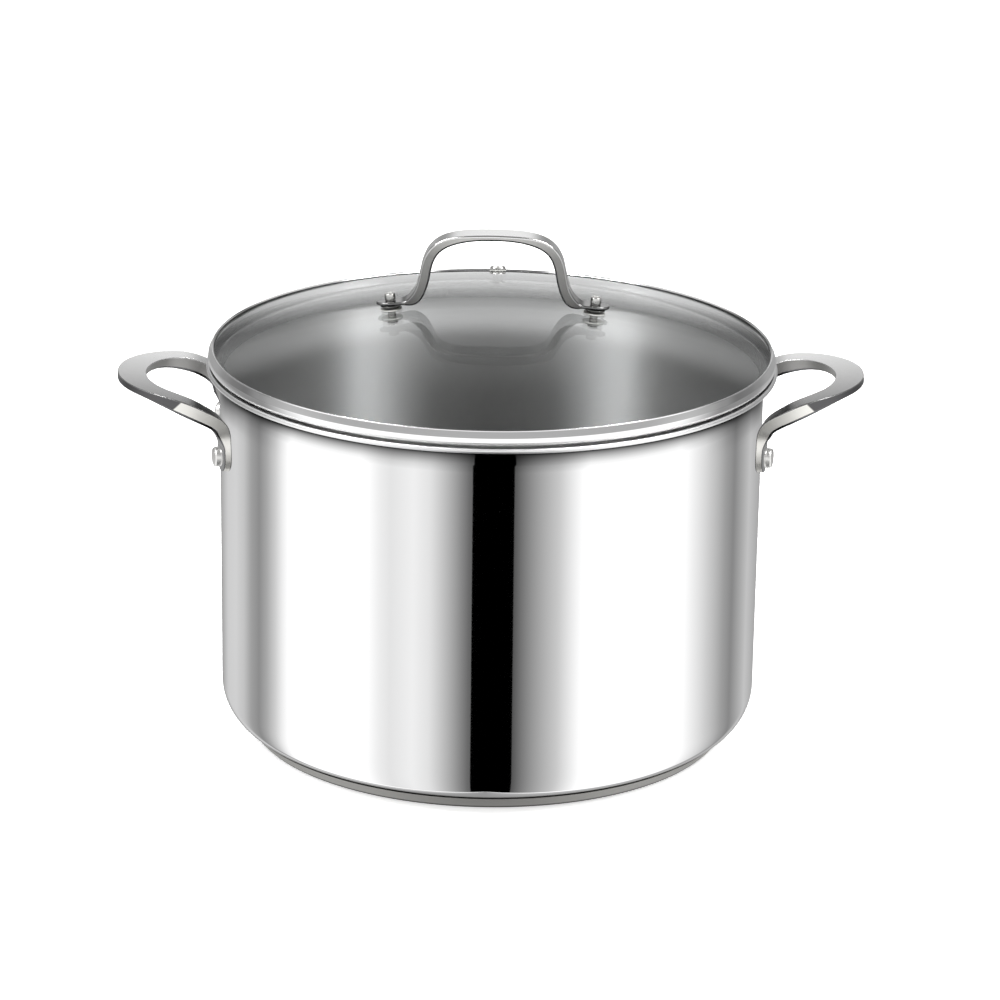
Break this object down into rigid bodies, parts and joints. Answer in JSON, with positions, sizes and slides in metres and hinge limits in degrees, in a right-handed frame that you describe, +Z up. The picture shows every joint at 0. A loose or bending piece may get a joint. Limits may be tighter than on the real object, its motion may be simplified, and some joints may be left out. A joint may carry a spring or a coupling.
{
  "type": "water bath canner",
  "caption": "Wide straight-sided steel pot with a bonded base, riveted loop handles, a domed glass lid with a bar handle, and a wire jar rack with folding handles inside",
  "frame": {"origin": "centre of the base's resting face", "axes": "+Z up, +X towards the right side handle, -Y the front"},
  "size_m": [0.4396, 0.3356, 0.3032],
  "materials": {
    "mirror_steel": "mirror polished stainless steel",
    "satin_steel": "satin brushed stainless steel",
    "wire_steel": "bright drawn stainless wire",
    "aluminium_core": "plain rolled aluminium, hidden",
    "glass": "clear tempered glass",
    "silicone": "soft pale grey silicone"
  },
  "bodies": {
    "pot": {"pot_body": "mirror_steel", "base_core": "aluminium_core", "base_cap": "satin_steel", "side_handle_left": "mirror_steel", "side_handle_right": "mirror_steel", "rivet_left_front": "satin_steel", "rivet_left_back": "satin_steel", "rivet_right_front": "satin_steel", "rivet_right_back": "satin_steel"},
    "lid": {"lid_glass": "glass", "lid_rim": "mirror_steel", "lid_handle": "mirror_steel", "lid_rivet_left": "mirror_steel", "lid_rivet_right": "mirror_steel", "lid_gasket_outer_left": "silicone", "lid_gasket_outer_right": "silicone", "lid_spacer_left": "satin_steel", "lid_spacer_right": "satin_steel", "lid_gasket_inner_left": "silicone", "lid_gasket_inner_right": "silicone", "lid_washer_inner_left": "satin_steel", "lid_washer_inner_right": "satin_steel", "steam_vent_eyelet": "mirror_steel", "steam_vent_gasket": "silicone"},
    "rack": {"rack_ring_outer": "wire_steel", "rack_ring_middle": "wire_steel", "rack_ring_inner": "wire_steel", "rack_spoke_1": "wire_steel", "rack_spoke_2": "wire_steel", "rack_spoke_3": "wire_steel", "rack_spoke_4": "wire_steel", "rack_spoke_5": "wire_steel", "rack_spoke_6": "wire_steel", "rack_spoke_7": "wire_steel", "rack_spoke_8": "wire_steel", "rack_foot_1": "wire_steel", "rack_foot_2": "wire_steel", "rack_foot_3": "wire_steel", "rack_foot_4": "wire_steel", "rack_eye_left_front": "wire_steel", "rack_eye_left_back": "wire_steel", "rack_eye_right_front": "wire_steel", "rack_eye_right_back": "wire_steel"},
    "rack_handle_left": {"rack_handle_left": "wire_steel"},
    "rack_handle_right": {"rack_handle_right": "wire_steel"}
  },
  "joints": [
    {"name": "lid_lift", "type": "slide", "parent": "pot", "child": "lid", "axis": [0, 0, 1], "range_m": [0, 0.3]},
    {"name": "rack_lift", "type": "slide", "parent": "pot", "child": "rack", "axis": [0, 0, 1], "range_m": [0, 0.08]},
    {"name": "rack_handle_left_fold", "type": "hinge", "parent": "rack", "child": "rack_handle_left", "pos_m": [-0.13397, 0, 0.0306], "axis": [0, -1, 0], "range_deg": [0, 95]},
    {"name": "rack_handle_right_fold", "type": "hinge", "parent": "rack", "child": "rack_handle_right", "pos_m": [0.13397, 0, 0.0306], "axis": [0, 1, 0], "range_deg": [0, 95]}
  ]
}
